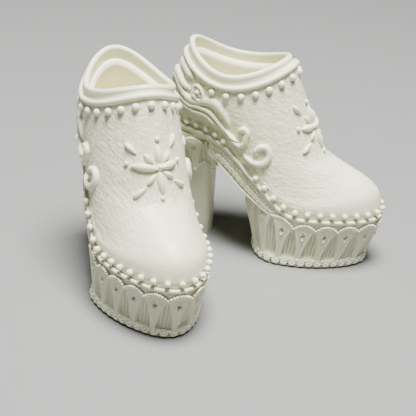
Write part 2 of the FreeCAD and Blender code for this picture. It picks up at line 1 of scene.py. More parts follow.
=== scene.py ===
"""A pair of doll-size platform ankle boots, cast in ivory resin, as a finished visual model.

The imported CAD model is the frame. Each boot is worked out in its own frame in millimetres,
x towards the toe, y to the wearer's left and z up, as a right boot. It is then set down
where the CAD boots stand; the left boot is the mirror image.
"""
import itertools
from math import atan2, cos, pi, radians, sin

import bpy
import numpy as np
from mathutils import Matrix, Vector


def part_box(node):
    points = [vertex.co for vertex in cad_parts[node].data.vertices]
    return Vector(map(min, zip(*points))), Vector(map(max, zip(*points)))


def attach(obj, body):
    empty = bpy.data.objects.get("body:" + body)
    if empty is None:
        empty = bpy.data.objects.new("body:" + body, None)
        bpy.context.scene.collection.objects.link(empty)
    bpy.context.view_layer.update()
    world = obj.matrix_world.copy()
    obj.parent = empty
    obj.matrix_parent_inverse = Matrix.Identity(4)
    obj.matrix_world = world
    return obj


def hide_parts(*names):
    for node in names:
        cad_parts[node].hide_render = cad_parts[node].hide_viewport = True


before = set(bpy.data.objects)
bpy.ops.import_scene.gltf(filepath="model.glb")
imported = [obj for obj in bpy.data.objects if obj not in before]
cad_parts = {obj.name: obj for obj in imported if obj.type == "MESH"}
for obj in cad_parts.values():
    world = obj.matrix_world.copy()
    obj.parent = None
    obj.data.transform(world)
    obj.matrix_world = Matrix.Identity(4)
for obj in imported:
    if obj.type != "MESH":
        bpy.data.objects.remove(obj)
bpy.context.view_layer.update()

# ---- sizes, in millimetres

PLATFORM_HEIGHT = 11.6   # floor to the foot bed under the ball
ARCH_RISE = 14.6         # how much higher the foot bed is at the heel
TOE_SWING = 0.2          # how far the toe leans to the inner side
TOE_POINT = 0.1          # share of its width that the toe loses towards its tip
BACK_POINT = 0.12        # and that the counter loses towards the back
BALL_X = 30.0            # where the foot bed starts to climb
SEAT_X = 5.0             # where it levels out over the heel
BREAST_X = 7.5           # where the bridge meets the heel
SHELL_WALL = 1.1
LINING_WALL = 0.6
WELT_THICK = 1.2
SHANK_THICK = 3.2
SHANK_RUN = 14.0         # from the ball back to where the bridge has its full depth
OUTSOLE_THICK = 0.9
SPAN = PLATFORM_HEIGHT - WELT_THICK - OUTSOLE_THICK  # height of the platform's wall

# Places on the upper: how far up, from 0 at the welt to 1 at the rim, and how far round
# from the toe, in radians.
LEDGE_AT = 0.912
ROLL_AT = 0.915
HUB_AT = 0.64
HUB_T = 0.07             # the star sits a little to the inner side of the toe line
ROSETTE_AT = 0.745
ROSETTE_T = 2.12
HOOKS_FROM = 1.84        # the welt's pearls leave this stretch round bare
HOOKS_TO = 2.06

# Closed outlines of the upper, welt to rim. Each gives the toe's x and its height over
# the foot bed, the middle's x, half-width and height, the back's x and height, and how
# far the outline has turned from following the foot bed to being an even saddle.
UPPER_OUTLINES = [
    (45.0, 0.0, 26.0, 10.5, 0.0, -2.6, 0.0, 0.0),
    (45.4, 2.0, 26.0, 10.9, 1.6, -3.0, 1.4, 0.0),
    (44.4, 5.3, 25.0, 10.9, 2.9, -3.5, 2.4, 0.1),
    (41.5, 7.7, 23.0, 10.6, 3.5, -3.9, 3.9, 0.3),
    (36.4, 9.8, 20.0, 10.3, 4.8, -4.2, 5.6, 0.6),
    (32.2, 11.8, 17.0, 10.1, 6.1, -4.2, 7.2, 0.85),
    (29.7, 16.0, 14.5, 10.0, 7.6, -3.8, 9.0, 1.0),
    (27.0, 21.1, 12.5, 9.9, 9.6, -2.8, 11.3, 1.0),
    (24.6, 25.6, 11.0, 9.6, 11.9, -1.4, 13.7, 1.0),
    (23.2, 27.9, 10.4, 9.35, 13.3, -0.7, 15.6, 1.0),
    (21.3, 28.9, 10.4, 9.2, 15.7, -0.2, 18.5, 1.0),
]

# The platform's outline on the outsole: its middle's x, its reach to the toe and to the
# back, and its half-width. Then how much each of them grows up to the welt.
PLATFORM_FOOT = (25.3, 17.5, 6.6, 10.2)
PLATFORM_FLARE = (0.7, 2.1, 3.6, 0.9)

# The heel's cross-sections: share of its height, back x, front x, half-width.
HEEL_TOP = PLATFORM_HEIGHT + ARCH_RISE - WELT_THICK
HEEL_SECTIONS = [
    (0.0, 0.9, 7.8, 2.7),
    (0.32, 0.2, 7.6, 3.1),
    (0.64, -1.0, 7.4, 3.9),
    (0.84, -1.8, 7.2, 4.9),
    (1.06, -3.0, 7.1, 7.3),
]

# The star on the vamp, right boot. Each long arm gives its heading from straight up, the
# reach of its petal's tip and that of its bead; each short one gives its middle, sideways
# towards the inner side and up, and its half-length. The drops lie outside the dashes.
HUB_R = 0.75
STAR_ARMS = [
    (0.0, 4.4, 5.5),
    (pi / 2, 4.2, 5.1),
    (pi, 5.2, 6.1),
    (-pi / 2, 5.6, 6.5),
]
STAR_DASHES = [(-2.0, 1.8, 1.2), (1.8, 1.8, 1.1), (-1.8, -2.3, 1.3), (1.9, -1.9, 1.2)]
STAR_DROPS = [(-5.3, 3.4, 1.3), (3.8, 4.5, 1.2), (-4.3, -5.3, 1.4), (4.8, -4.7, 1.4)]

# The scrolls on each side, as places round from the toe and up the upper, and half-widths.
SCROLL_BANDS = [
    ([(3.08, 0.81), (2.80, 0.82), (2.63, 0.823), (2.47, 0.815), (2.28, 0.80)],
     [0.6, 0.9, 1.0, 0.9, 0.45]),
    ([(3.08, 0.725), (2.84, 0.725), (2.69, 0.725), (2.50, 0.71), (2.28, 0.712)],
     [0.6, 0.95, 1.0, 0.9, 0.5]),
    ([(3.10, 0.65), (2.72, 0.69), (2.50, 0.66), (2.34, 0.637), (2.20, 0.65), (2.08, 0.685), (1.96, 0.718),
      (1.83, 0.732), (1.74, 0.715), (1.69, 0.67), (1.67, 0.61)],
     [0.5, 0.75, 0.8, 0.85, 0.85, 0.9, 1.05, 1.1, 1.0, 0.75, 0.35]),
    ([(2.60, 0.585), (2.30, 0.59), (2.13, 0.633), (1.97, 0.655), (1.88, 0.645), (1.81, 0.612),
      (1.755, 0.572), (1.735, 0.537), (1.705, 0.508), (1.65, 0.508), (1.57, 0.54), (1.50, 0.575),
      (1.455, 0.600), (1.48, 0.620), (1.54, 0.610), (1.585, 0.592)],
     [0.3, 0.55, 0.6, 0.6, 0.55, 0.5, 0.45, 0.5, 0.6, 0.65, 0.65, 0.68, 0.68, 0.65, 0.5, 0.35]),
    ([(2.60, 0.50), (2.27, 0.545), (2.10, 0.597), (1.98, 0.61), (1.91, 0.59), (1.87, 0.56)],
     [0.25, 0.45, 0.5, 0.5, 0.4, 0.15]),
]
SCROLL_CURLS = [
    ([(1.71, 0.440), (1.65, 0.423), (1.57, 0.428), (1.45, 0.448), (1.33, 0.480), (1.265, 0.512),
      (1.28, 0.535), (1.35, 0.533), (1.43, 0.515), (1.475, 0.50), (1.44, 0.488)],
     [0.35, 0.6, 0.75, 0.8, 0.8, 0.78, 0.75, 0.7, 0.6, 0.5, 0.35]),
]

# Trim.
ROLL_R = 0.58
LIP_PROUD = 0.14         # how far the lip's rim stands out past the upper's face
LIP_DIP = 0.035          # how much lower the rim is at the front, as a share of the way up
COLLAR_BEAD_R = 0.76
COLLAR_BEAD_PITCH = 2.9
COLLAR_BEAD_DROP = 1.95  # from the roll down to the pearls
WELT_BEAD_R = 0.63
WELT_BEAD_PITCH = 2.6
WELT_BEAD_LIFT = 1.65    # from the welt up to the pearls
ARCH_LIFT = 0.8          # how much higher the welt's trim runs over the bridge
PIPING_PITCH = 2.7
PIPING_OUT = 0.55        # from the upper's foot out to the piping's middle
CREASE_DEPTH = 0.155     # of the leather's creases

# The fan-shaped lace panels of the platform's wall.
PANEL_PITCH = 4.8
PANEL_COLUMNS = 48       # mesh columns to a panel
PANEL_STAND = 1.0        # how far a panel stands out from the recess beside it
WALL_INSET = 0.65        # the recess lies this far inside the wall's nominal face
SCALLOP_DROP = -0.3      # from the top of the wall to the crown of a scallop
CUSP_DROP = 1.2          # from the crown of a scallop to the cusp beside it
FOOT_HALF = 0.72         # half the width of a panel's foot
HOLE_DOWN = 2.6          # from the crown of a scallop to the middle of its hole
HOLE_HALF = 0.62
HOLE_WIDE = 0.36
FLUTE = 0.86             # from one flute in a recess to the next
EDGE_BEAD_R = 0.28
EDGE_BEAD_PITCH = 0.56
STRIP_FRONT = 24.0       # x where the bridge's side strip takes over from the platform
SHELL_PITCH = 1.3        # from one shell of that strip to the next
HEM_PITCH = 1.8
HEM_UP = 0.42            # from the outsole up to the middle of the hem's lace

# The skirt round the top of the heel.
APRON_LOW = HEEL_TOP - 8.4  # height of the hem's points
APRON_POINTS = 9
APRON_COLUMNS = 40       # mesh columns to a point
APRON_EDGE = 0.75        # from the skirt's top down to its scallops

# How each boot stands: heading of its x axis in degrees, and its origin before pair_shift().
STANCES = {"right": (-66.0, (-22.3, -20.4)), "left": (-13.7, (-6.5, -9.3))}

STEP = 1e-3              # the small step in t or s that directions are measured over
UP = np.array([0.0, 0.0, 1.0])


# ---- shape of the boot

def smooth(f):
    """A smooth step from 0 to 1 as f goes from 0 to 1."""
    f = np.clip(f, 0.0, 1.0)
    return f * f * (3 - 2 * f)


def hump(x, middle, reach):
    """A soft hump of height 1 round a middle value."""
    return np.exp(-((x - middle) / reach) ** 2)


def curve(values, f):
    """Rows of values read smoothly as f goes from 0 to 1."""
    values = np.asarray(values, float)
    last = len(values) - 1
    place = np.clip(f, 0.0, 1.0) * last
    first = np.minimum(place.astype(int), last - 1)
    g = (place - first)[..., None]
    a, b, c, d = (values[np.clip(first + k, 0, last)] for k in (-1, 0, 1, 2))
    return (2 * b + (c - a) * g + (2 * a - 5 * b + 4 * c - d) * g ** 2
            + (3 * b - a - 3 * c + d) * g ** 3) / 2


def bed_height(x):
    """Height of the foot bed above the floor at x."""
    return PLATFORM_HEIGHT + ARCH_RISE * smooth((BALL_X - x) / (BALL_X - SEAT_X))


def shank_line(x):
    """Height of the bridge's underside at x."""
    return bed_height(x) - WELT_THICK - SHANK_THICK * np.clip((BALL_X - x) / SHANK_RUN, 0.0, 1.0)


def swing(x):
    """Sideways lean of the boot's centre line at x."""
    return TOE_SWING * np.maximum(0.0, (x - 15.0) / 30.0) ** 2


def upper_point(t, s):
    """Points of the upper's outer face: t is the angle round from the toe, s the way up."""
    t, s = np.broadcast_arrays(np.asarray(t, float), np.asarray(s, float))
    sizes = np.moveaxis(curve(UPPER_OUTLINES, s), -1, 0)
    toe_x, toe_up, mid_x, half_width, mid_up, back_x, back_up, level = sizes
    c = np.cos(t)
    forward = c > 0
    end_x = np.where(forward, toe_x, back_x)
    end_up = np.where(forward, toe_up, back_up)
    x = mid_x + (end_x - mid_x) * np.abs(c)
    y = half_width * np.sin(t) * np.where(forward, 1 - TOE_POINT * c * c, 1 + BACK_POINT * c)
    rear = smooth(-2.5 * c)
    level = np.clip(level, 0.0, 1.0) ** (1 + rear)
    flatness = 2 - rear * (1 - np.clip((s - 0.4) / 0.4, 0.0, 1.0))
    draped = bed_height(x) + mid_up + (end_up - mid_up) * c * c
    mid_z = bed_height(mid_x) + mid_up
    end_z = bed_height(end_x) + end_up
    saddle = mid_z + (end_z - mid_z) * np.abs(c) ** flatness
    return np.stack([x, y + swing(x), (1 - level) * draped + level * saddle], -1)


def block_point(t, h):
    """Points of the platform's side wall: h is 0 on the outsole and 1 under the toe's welt."""
    t, h = np.broadcast_arrays(np.asarray(t, float), np.asarray(h, float))
    shaped = np.minimum(h, 1.0)
    grown = (size + flare * shaped for size, flare in zip(PLATFORM_FOOT, PLATFORM_FLARE))
    middle, ahead, behind, half = grown
    c = np.cos(t)
    x = middle + np.where(c > 0, ahead, behind) * c
    pointed = np.where(c > 0, TOE_POINT * (2 - shaped) * c * c, 0.0)
    y = half * np.sin(t) * (1 - pointed)
    return np.stack([x, y + swing(x), OUTSOLE_THICK + SPAN * h], -1)


def heel_point(a, z, grow=0.0):
    """Points of the heel's rounded-square side: a is the angle round, z the height."""
    a, z = np.broadcast_arrays(np.asarray(a, float), np.asarray(z, float))
    shares, *sizes = zip(*HEEL_SECTIONS)
    back, front, half = (np.interp(z / HEEL_TOP, shares, size) for size in sizes)
    c, d = np.cos(a), np.sin(a)
    square = (np.abs(c) ** 4 + np.abs(d) ** 4) ** -0.25
    x = (back + front) / 2 + ((front - back) / 2 + grow) * c * square
    return np.stack([x, (half + grow) * d * square, z], -1)


def unit(v):
    """Vectors scaled to length one."""
    return v / np.maximum(np.linalg.norm(v, axis=-1, keepdims=True), 1e-12)


def level_outward(skin, t, s):
    """Directions out from a skin that are level with the floor."""
    ahead = skin(t + STEP, s) - skin(t - STEP, s)
    return unit(np.stack([ahead[..., 1], -ahead[..., 0], 0 * ahead[..., 0]], -1))


def frames(skin, t, s):
    """Points, outward normals, sideways and upward directions of a skin."""
    across = unit(skin(t + STEP, s) - skin(t - STEP, s))
    rise = skin(t, np.minimum(s + STEP, 1.0)) - skin(t, np.maximum(s - STEP, 0.0))
    normal = unit(np.cross(across, rise))
    return skin(t, s), normal, across, np.cross(normal, across)


def off_upper(t, s, out, up=0.0):
    """Points a little off the upper, in millimetres outward and up along it."""
    point, normal, _, upward = frames(upper_point, t, s)
    return point + normal * np.asarray(out)[..., None] + upward * np.asarray(up)[..., None]


def walk(t, s, sideways, up, steps=8):
    """The (t, s) reached from a place on the upper by going so many millimetres along it."""
    t, s, sideways, up = (np.asarray(v, float) for v in np.broadcast_arrays(t, s, sideways, up))
    for _ in range(steps):
        wide = np.linalg.norm(upper_point(t + STEP, s) - upper_point(t - STEP, s), axis=-1) / (2 * STEP)
        tall = np.linalg.norm(upper_point(t, s + STEP) - upper_point(t, s), axis=-1) / STEP
        t = t + sideways / steps / wide
        s = s + up / steps / tall
    return t, s


def distance_along(points):
    """How far each row of points is from the first row, step by step."""
    steps = np.linalg.norm(np.diff(points, axis=0), axis=-1)
    return np.concatenate([np.zeros_like(steps[:1]), np.cumsum(steps, axis=0)])


def even_turn(skin, s, count, start=0.0):
    """Angles evenly spaced along a skin at height s, and the length all the way round."""
    fine = np.linspace(0.0, 2 * pi, 4001)
    lengths = distance_along(skin(fine, s))
    goals = (np.arange(count) + start) / count * lengths[-1]
    return np.interp(goals, lengths, fine), lengths[-1]


def spread(skin, s, pitch):
    """Angles that step evenly along a skin at height s, about one pitch apart."""
    _, length = even_turn(skin, s, 4)
    return even_turn(skin, s, max(1, round(length / pitch)))[0]


# ---- noise

def corner_value(cell, seed):
    """A repeatable number from -1 to 1 for each whole-number cell."""
    mixed = (cell[..., 0] * 374761393 + cell[..., 1] * 668265263 + cell[..., 2] * 3266489917
             + seed * 974711) & 0xFFFFFFFF
    mixed = ((mixed ^ (mixed >> 13)) * 1274126177) & 0xFFFFFFFF
    mixed = ((mixed ^ (mixed >> 16)) * 2246822519) & 0xFFFFFFFF
    return (mixed >> 8).astype(float) / 0x7FFFFF - 1.0


def soft_noise(place, seed):
    """Smooth noise from -1 to 1 through space, with features about one unit across."""
    cell = np.floor(place).astype(np.int64)
    f = smooth(place - cell)
    total = 0.0
    for corner in itertools.product((0, 1), repeat=3):
        a, b, c = np.moveaxis(np.where(corner, f, 1 - f), -1, 0)
        total = total + a * b * c * corner_value(cell + corner, seed)
    return total


# ---- meshes

class Shape:
    """Points in millimetres, the quads and triangles over them, and how much painted shade each point gets,
    more where it lies sunk.
    """

    def __init__(self, points, quads, tris=None, painted_shade=None):
        self.points = np.asarray(points, float).reshape(-1, 3)
        self.quads = np.asarray(quads, int).reshape(-1, 4)
        self.tris = np.asarray([] if tris is None else tris, int).reshape(-1, 3)
        self.painted_shade = np.zeros(len(self.points)) if painted_shade is None else np.asarray(painted_shade, float).ravel()

    def outward(self):
        """The same closed shape with its faces turned to look outward."""
        corners = np.concatenate([self.quads[:, :3], self.quads[:, [0, 2, 3]], self.tris])
        a, b, c = (self.points[corners[:, k]] for k in range(3))
        if np.sum(np.cross(a, b) * c) < 0:
            self.quads = self.quads[:, ::-1]
            self.tris = self.tris[:, ::-1]
        return self


def joined(shapes):
    """One shape from several."""
    starts = np.cumsum([0] + [len(shape.points) for shape in shapes])
    return Shape(np.concatenate([shape.points for shape in shapes]),
                 np.concatenate([shape.quads + k for shape, k in zip(shapes, starts)]),
                 np.concatenate([shape.tris + k for shape, k in zip(shapes, starts)]),
                 np.concatenate([shape.painted_shade for shape in shapes]))


def lattice(points, around=True, over=False, painted_shade=None):
    """A surface over rows of points, closed round each row, from row to row, or both."""
    rows, cols = points.shape[:2]
    j = np.arange(rows if over else rows - 1)[:, None]
    i = np.arange(cols if around else cols - 1)[None, :]
    right = (i + 1) % cols
    here, above = j * cols, (j + 1) % rows * cols
    return Shape(points, np.stack([here + i, here + right, above + right, above + i], -1), None, painted_shade)


def wrapped(points, painted_shade=None):
    """A closed surface over rows of points, with its faces turned outward."""
    return lattice(points, over=True, painted_shade=painted_shade).outward()


def ring(profile, angles):
    """A closed ring round the upper; profile lists (out, how far up the upper, up) in order."""
    return wrapped(np.stack([off_upper(angles, s, out, up) for out, s, up in profile]))


def ball_template(fine):
    """A round ball of radius 1, all in quads, from a cube's faces bulged out."""
    side = np.tan(np.linspace(-1, 1, fine + 1) * pi / 4)
    u, v = np.meshgrid(side, side, indexing="ij")
    one = np.ones_like(u)
    faces = [(u, v, one), (v, u, -one), (one, u, v), (-one, v, u), (v, one, u), (u, -one, v)]
    shapes = [lattice(unit(np.stack(face, -1)), around=False) for face in faces]
    shape = joined(shapes)
    keys = np.round(shape.points * 1e5).astype(np.int64)
    _, first, places = np.unique(keys, axis=0, return_index=True, return_inverse=True)
    return Shape(shape.points[first], places.ravel()[shape.quads]).outward()


def ring_template(radius, cord, around=20, sides=8):
    """A flat ring lying in its own plane, of the given radius and cord thickness."""
    a = np.arange(around)[:, None] * 2 * pi / around
    b = np.arange(sides)[None, :] * 2 * pi / sides
    reach = radius + cord * np.cos(b)
    points = np.stack([reach * np.cos(a), reach * np.sin(a), cord * np.sin(b) + 0 * a], -1)
    return wrapped(points)


def scattered(template, seats, along, sideways, out, sizes):
    """Copies of an all-quad template at seats, each scaled along its own three directions."""
    seats, along, sideways, out = (np.atleast_2d(v) for v in (seats, along, sideways, out))
    sizes = np.broadcast_to(np.asarray(sizes, float), (len(seats), 3))
    local = template.points[None] * sizes[:, None]
    points = (seats[:, None] + local[..., :1] * along[:, None] + local[..., 1:2] * sideways[:, None]
              + local[..., 2:] * out[:, None])
    starts = (np.arange(len(seats)) * len(template.points))[:, None, None]
    return Shape(points, template.quads[None] + starts)


def beads(seats, radius, fine=5, squash=1.0, normals=UP):
    """Round beads, each a touch different from its neighbours as cast ones are."""
    seats = np.atleast_2d(seats)
    wobble = 1 + 0.05 * soft_noise(seats * 0.77, 5)
    normals = np.broadcast_to(normals, seats.shape)
    sideways = unit(np.cross(normals, [0.31, 0.2, 0.93]))
    along = np.cross(sideways, normals)
    size = radius * wobble[:, None]
    return scattered(ball_template(fine), seats, along, sideways, normals,
                     np.concatenate([size, size, size * squash], -1))


def with_ends(shape, first, last, sunk=0.0):
    """A tube with its first and last rings of points closed, each by a fan round its middle."""
    fans = []
    for ids, turned in ((first, np.roll(first, -1)), (np.roll(last, -1), last)):
        fans.append(np.stack([turned, ids, np.full(len(ids), len(shape.points))], -1))
        shape.points = np.concatenate([shape.points, [shape.points[np.sort(ids)].mean(0)]])
        # The middle point takes the given amount of painted shade.
        shape.painted_shade = np.append(shape.painted_shade, sunk)
    shape.tris = np.concatenate(fans)
    return shape


def cord(points, radius, sides=10):
    """A round closed cord through a loop of points."""
    ahead = unit(np.roll(points, -1, 0) - np.roll(points, 1, 0))
    sideways = unit(np.cross(ahead, UP))
    rise = np.cross(sideways, ahead)
    a = (np.arange(sides) * 2 * pi / sides)[None, :, None]
    radius = np.broadcast_to(radius, len(points))[:, None, None]
    section = sideways[:, None] * np.cos(a) + rise[:, None] * np.sin(a)
    return wrapped(points[:, None] + section * radius)


def ribbon(path, widths, height, sink=0.1, around=20, fine=14):
    """A plump ribbon laid on the upper along (t, s) places, its half-width given at each."""
    steps = fine * (len(path) - 1)
    f = (1 - np.cos(np.linspace(0.0, pi, steps + 1))) / 2
    place = curve(path, f)
    half = curve([(w,) for w in widths], f)[:, 0]
    ends = np.sqrt(np.clip(np.minimum(f, 1 - f) * len(path) * 1.6, 0.0, 1.0))
    half = half * np.maximum(ends, 0.02)
    point, normal, _, _ = frames(upper_point, place[:, 0], place[:, 1])
    ahead = unit(np.gradient(point, axis=0))
    side = unit(np.cross(normal, ahead))
    rise = np.cross(ahead, side)
    tall = height * np.minimum(1.0, half / max(widths) * 0.9 + 0.25) * np.maximum(ends, 0.02)
    angles = np.arange(around) * 2 * pi / around
    flat, high = (np.sign(v) * np.abs(v) ** 0.85 for v in (np.cos(angles), np.sin(angles)))
    points = (point[:, None] - rise[:, None] * sink + side[:, None] * (half[:, None] * flat)[..., None]
              + rise[:, None] * (tall[:, None] * high)[..., None])
    first = np.arange(around)
    return with_ends(lattice(points), first, first + steps * around).outward()


# ---- materials

def ivory(name, light, warm, roughness, grain, depth, coat):
    """A cast-resin finish: cloudy ivory with dark specks and a fine grain, darkened by painted shade in
    hollows, where it is also duller.
    """
    material = bpy.data.materials.new(name)
    material.use_nodes = True
    nodes, links = material.node_tree.nodes, material.node_tree.links
    shader = nodes["Principled BSDF"]
    place = nodes.new("ShaderNodeTexCoord").outputs["Object"]

    def noise(scale, detail, rough=0.55):
        node = nodes.new("ShaderNodeTexNoise")
        node.inputs["Scale"].default_value = scale
        node.inputs["Detail"].default_value = detail
        node.inputs["Roughness"].default_value = rough
        links.new(place, node.inputs["Vector"])
        return node.outputs["Fac"]

    def mixed(factor, a, b):
        node = nodes.new("ShaderNodeMix")
        node.data_type = "RGBA"
        links.new(factor, node.inputs["Factor"])
        colour_a, colour_b, result = node.inputs[6], node.inputs[7], node.outputs[2]
        for socket, value in ((colour_a, a), (colour_b, b)):
            if isinstance(value, tuple):
                socket.default_value = (*value, 1.0)
            else:
                links.new(value, socket)
        return result

    def ranged(value, low, high, new_low, new_high):
        node = nodes.new("ShaderNodeMapRange")
        limits = {"From Min": low, "From Max": high, "To Min": new_low, "To Max": new_high}
        for socket, limit in limits.items():
            node.inputs[socket].default_value = limit
        links.new(value, node.inputs["Value"])
        return node.outputs["Result"]

    cloud = ranged(noise(170.0, 3.0), 0.35, 0.7, 0.0, 1.0)
    # Painted shade: the mesh attribute read here darkens the colour towards a dark warm tone in hollows,
    # creases and on hidden backs.
    sunk = nodes.new("ShaderNodeAttribute")
    sunk.attribute_name = "painted_shade"
    colour = mixed(cloud, light, warm)
    colour = mixed(ranged(sunk.outputs["Fac"], 0.0, 1.0, 0.0, 0.85), colour, SHADE_AND_SPECK)
    # The resin's own dark specks, in the same dark tone.
    speck = ranged(noise(2600.0, 2.0), 0.62, 0.8, 0.0, 0.22)
    colour = mixed(speck, colour, SHADE_AND_SPECK)
    links.new(colour, shader.inputs["Base Color"])

    duller = nodes.new("ShaderNodeMath")
    duller.operation = "MULTIPLY_ADD"
    duller.inputs[1].default_value = 0.16
    links.new(sunk.outputs["Fac"], duller.inputs[0])
    links.new(ranged(noise(420.0, 4.0), 0.3, 0.7, roughness - 0.07, roughness + 0.08), duller.inputs[2])
    links.new(duller.outputs[0], shader.inputs["Roughness"])

    bump = nodes.new("ShaderNodeBump")
    bump.inputs["Strength"].default_value = 1.0
    bump.inputs["Distance"].default_value = depth / 1000
    links.new(noise(grain, 4.0, 0.6), bump.inputs["Height"])
    links.new(bump.outputs["Normal"], shader.inputs["Normal"])
    for socket, value in {
            "IOR": 1.47, "Subsurface Weight": 0.1, "Subsurface Radius": (1.0, 0.9, 0.7),
            "Subsurface Scale": 0.0005, "Coat Weight": coat, "Coat Roughness": 0.35}.items():
        shader.inputs[socket].default_value = value
    return material


LIGHT = (0.785, 0.79, 0.60)
WARM = (0.745, 0.745, 0.53)
# A dark warm tone, used both for painted shade in hollows and for the resin's specks.
SHADE_AND_SPECK = (0.40, 0.375, 0.22)
# The inside's cream tone, made lighter than the ivory outside as painted light that makes up for the shade
# inside the boot.
CREAM_PAINTED_LIGHTER = (0.93, 0.91, 0.68)
CREAM_WARM = (0.90, 0.87, 0.60)
PEARL = (0.835, 0.84, 0.67)

# Each finish: its two colours, its roughness, its grain's fineness and depth in mm, and its coat.
FINISHES = {name: ivory(name, *values) for name, values in {
    "upper_ivory": (LIGHT, WARM, 0.42, 1900.0, 0.02, 0.12),
    "lining_cream": (CREAM_PAINTED_LIGHTER, CREAM_WARM, 0.55, 1500.0, 0.02, 0.0),
    "board_ivory": (CREAM_PAINTED_LIGHTER, CREAM_WARM, 0.6, 1200.0, 0.03, 0.0),
    "smooth_ivory": (LIGHT, WARM, 0.38, 1400.0, 0.012, 0.12),
    "pearl_ivory": (PEARL, LIGHT, 0.3, 1700.0, 0.008, 0.25),
    "sole_ivory": (LIGHT, WARM, 0.42, 1600.0, 0.015, 0.0),
    "tread_ivory": (WARM, CREAM_WARM, 0.6, 1300.0, 0.03, 0.0),
    "lace_ivory": (LIGHT, WARM, 0.42, 2300.0, 0.02, 0.08),
}.items()}


# ---- upper and collar

def crinkle(t, rise, x, z):
    """Leather creases, negative in a crease, and fading towards the toe.

    On the vamp they follow the way up the leather, and on the sides they lie level.
    """
    girth = 14.0            # a rounded size for the upper, to turn angles into millimetres
    place = np.stack([girth * np.cos(t), girth * np.sin(t), rise], -1)
    bent = place + 0.2 * np.stack([soft_noise(place / 2.6, seed) for seed in (1, 2, 3)], -1)
    level = bent + (z - rise)[..., None] * UP

    def pebbles(spots, wide, tall, seed):
        near = [np.abs(soft_noise(spots / (wide, wide, tall), seed + k)) for k in (0, 40)]
        return np.sqrt(np.minimum(*near))

    vamp = 0.7 * pebbles(bent, 1.5, 0.85, 11) + 0.5 * pebbles(bent, 1.0, 0.6, 17)
    quarter = 0.7 * pebbles(level, 1.3, 0.85, 13) + 0.5 * pebbles(level, 0.9, 0.62, 19)
    on_vamp = smooth((np.cos(t) - 0.2) / 0.5)
    worn_smooth = 0.2 + 0.8 * smooth((41.0 - x) / 11.0)
    return (on_vamp * vamp + (1 - on_vamp) * quarter - 0.55) * worn_smooth


def upper_shell():
    """The moulded outer of the boot, creased like soft leather."""
    angles, _ = even_turn(upper_point, 0.35, 840)
    heights = np.linspace(0.0, ROLL_AT, 260)
    t, s = np.meshgrid(angles, heights)
    plain = upper_point(t, s)
    creases = crinkle(t, distance_along(plain), plain[..., 0], plain[..., 2])
    edge = smooth(s / 0.03) * smooth((ROLL_AT - s) / 0.03)
    outer = off_upper(t, s, CREASE_DEPTH * creases * edge)
    inner = off_upper(t[::-8], s[::-8], -SHELL_WALL)
    # Painted shade: darker in the troughs of the creases, and a little on the inner wall.
    painted_shade = np.concatenate([np.clip(-creases * edge * 1.3, 0.0, 0.6), np.full(inner.shape[:2], 0.2)])
    return wrapped(np.concatenate([outer, inner]), painted_shade)


def lining():
    """The inner layer, with a broad soft ledge where it stops below the rim."""
    angles, _ = even_turn(upper_point, 0.6, 260)
    face = -SHELL_WALL - 0.04
    heights = np.linspace(0.05, LEDGE_AT, 60)
    outside = [(face, s, 0.0) for s in heights]
    bend = np.linspace(0.0, pi / 2, 8)[1:]
    ledge = [(face - 1.05 * sin(a), LEDGE_AT - 0.02 * sin(a), 0.75 * cos(a)) for a in bend]
    inside = [(face - LINING_WALL - 0.45 * hump(s, LEDGE_AT, 0.16), s, 0.0) for s in heights[::-1][3:]]
    return ring(outside + ledge + inside, angles)


def collar_lip():
    """The lip that rises above the roll: a shallow cove below a full rounded rim."""
    angles, _ = even_turn(upper_point, 1.0, 300)
    rim_at = 1.0 - LIP_DIP * np.maximum(np.cos(angles), 0.0) ** 2
    start = ROLL_AT + 0.004
    shares = np.linspace(0.0, 1.0, 16)
    cove = [-0.16 * sin(pi * min(f / 0.75, 1.0)) for f in shares]
    outer = [(sunk + LIP_PROUD * smooth((f - 0.68) / 0.14), f, 0.0) for sunk, f in zip(cove, shares)]
    bend = np.linspace(0.0, pi, 11)[1:-1]
    half = (SHELL_WALL + LIP_PROUD) / 2
    rim = [(LIP_PROUD - half + half * cos(a), 1.0, 0.62 * sin(a)) for a in bend]
    inner = [(-SHELL_WALL, f, 0.0) for f in shares[::-1]]
    profile = [(out, start + f * (rim_at - start), up) for out, f, up in outer + rim + inner]
    return ring(profile, angles)


def collar_roll():
    """The rolled piping below the lip, a little uneven as if hand-laid."""
    angles, _ = even_turn(upper_point, ROLL_AT, 320)
    centre = off_upper(angles, ROLL_AT - 0.004, 0.3)
    return cord(centre, ROLL_R * (1 + 0.03 * soft_noise(centre / 3.0, 8)), sides=16)


def from_toe(t):
    """How far round from the toe angles are, on either side."""
    return np.abs((t + pi) % (2 * pi) - pi)


def pearls(t, s, out, radius):
    """Pearls seated on the upper."""
    _, normal, _, _ = frames(upper_point, t, s)
    return beads(off_upper(t, s, out), radius, 12, 0.97, normal)


def collar_beads():
    """The pearl row under the roll, from rosette to rosette round the front."""
    t = spread(upper_point, ROLL_AT, COLLAR_BEAD_PITCH)
    t = t[from_toe(t) < ROSETTE_T - 0.28]
    return pearls(*walk(t, ROLL_AT, 0.0, -COLLAR_BEAD_DROP), 0.28, COLLAR_BEAD_R)


# ---- welt

def arch_lift(x):
    """How much higher than the foot bed the welt's trim runs at x."""
    return ARCH_LIFT * smooth((27.0 - x) / 7.0) * smooth((x - BREAST_X + 1.0) / 6.0)


def welt_place(t, out, rise):
    """Points on the welt, level outward from the upper's foot and up from the foot bed."""
    foot = upper_point(t, 0.0)
    rise = np.asarray(rise) + arch_lift(foot[..., 0])
    return foot + level_outward(upper_point, t, 0.0) * out + UP * rise[..., None]


